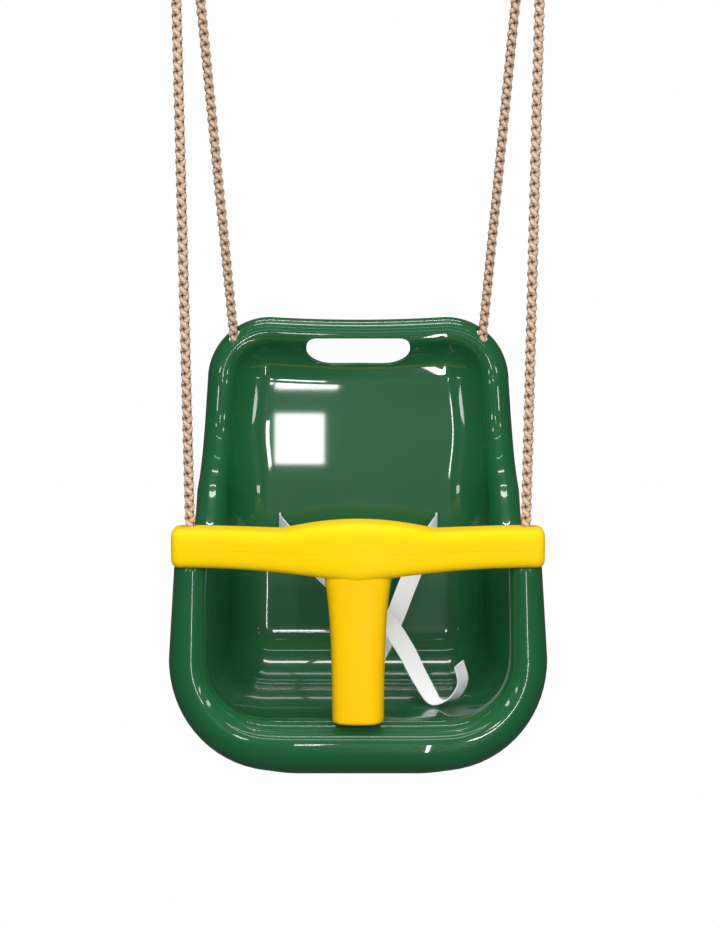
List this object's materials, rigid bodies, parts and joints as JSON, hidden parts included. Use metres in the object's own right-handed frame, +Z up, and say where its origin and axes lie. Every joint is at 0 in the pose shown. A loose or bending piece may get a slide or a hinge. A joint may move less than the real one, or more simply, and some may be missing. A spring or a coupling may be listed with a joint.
{
  "type": "toddler bucket swing",
  "caption": "Moulded toddler bucket swing seat with a sliding T-bar guard, webbing strap, plaited ropes and steel hanging rings.",
  "frame": {"origin": "midway between the points where a hook bears in the two hanging rings, with the seat hanging at rest below", "axes": "+X to the right of someone who faces the front of the seat, +Y to its back, +Z up"},
  "size_m": [0.44, 0.2818, 1.1304],
  "materials": {
    "moulded_green": "high gloss moulded polyethylene, dark green",
    "moulded_yellow": "satin moulded polyethylene, warm yellow",
    "rope": "plaited polypropylene rope, hemp coloured",
    "webbing": "white twill webbing",
    "galvanised_steel": "zinc plated steel"
  },
  "bodies": {
    "rings": {"hanging_ring_left": "galvanised_steel", "hanging_ring_right": "galvanised_steel"},
    "seat": {"seat_shell": "moulded_green", "safety_strap": "webbing", "rope_left": "rope", "armrest_knot_left": "rope", "backrest_knot_left": "rope", "rope_thimble_left": "galvanised_steel", "rope_right": "rope", "armrest_knot_right": "rope", "backrest_knot_right": "rope", "rope_thimble_right": "galvanised_steel"},
    "t_bar": {"t_bar_top_shell": "moulded_yellow", "t_bar_bottom_shell": "moulded_yellow", "t_bar_stem": "moulded_yellow"}
  },
  "joints": [
    {"name": "swing", "type": "hinge", "parent": "rings", "child": "seat", "pos_m": [0, 0, -0.048], "axis": [1, 0, 0], "range_deg": [-45, 45]},
    {"name": "t_bar_lift", "type": "slide", "parent": "seat", "child": "t_bar", "axis": [0, 0.09, 0.9959], "range_m": [0, 0.16]}
  ]
}
